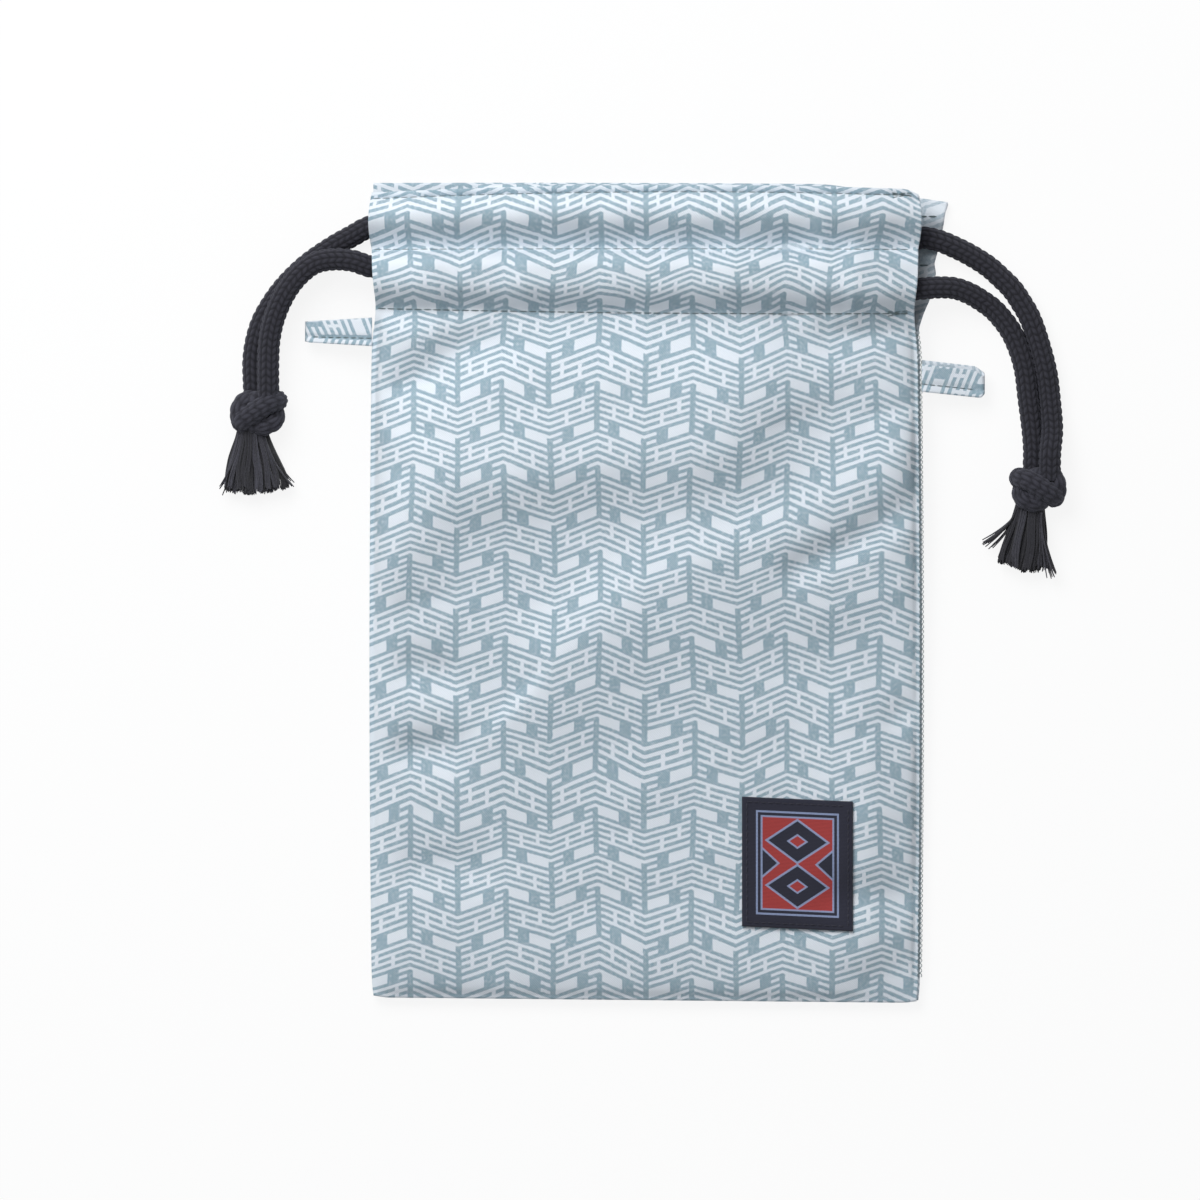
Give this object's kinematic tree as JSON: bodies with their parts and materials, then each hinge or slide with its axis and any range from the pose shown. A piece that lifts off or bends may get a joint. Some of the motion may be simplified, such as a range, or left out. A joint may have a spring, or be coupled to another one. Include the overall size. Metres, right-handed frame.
{
  "type": "drawstring pouch",
  "caption": "Flat cloth drawstring pouch lying on its back, with stitched cord channels at the mouth, braided cords knotted and frayed at their ends, side tabs and a woven label.",
  "frame": {"origin": "middle of the footprint of the pouch and its tabs, on the surface that it lies on, cords left out", "axes": "+Y from the bottom fold towards the mouth, +Z out of the front panel, +X to the right seen from the front"},
  "size_m": [0.2615, 0.2551, 0.024],
  "materials": {
    "cloth": "plain-weave cotton with a two-tone pale blue print",
    "cord": "braided navy-black cord, frayed at the ends",
    "label": "woven navy label with a red and pale blue ornament"
  },
  "bodies": {
    "pouch": {"pouch_body": "cloth", "tab_left": "cloth", "tab_right": "cloth", "label": "label"},
    "drawcord_left": {"drawcord_left": "cord", "knot_left": "cord", "tassel_left": "cord"},
    "drawcord_right": {"drawcord_right": "cord", "knot_right": "cord", "tassel_right": "cord"}
  },
  "joints": [
    {"name": "pull_left", "type": "slide", "parent": "pouch", "child": "drawcord_left", "axis": [-1, 0, 0], "range_m": [0, 0.007]},
    {"name": "pull_right", "type": "slide", "parent": "pouch", "child": "drawcord_right", "axis": [1, 0, 0], "range_m": [0, 0.007]}
  ]
}
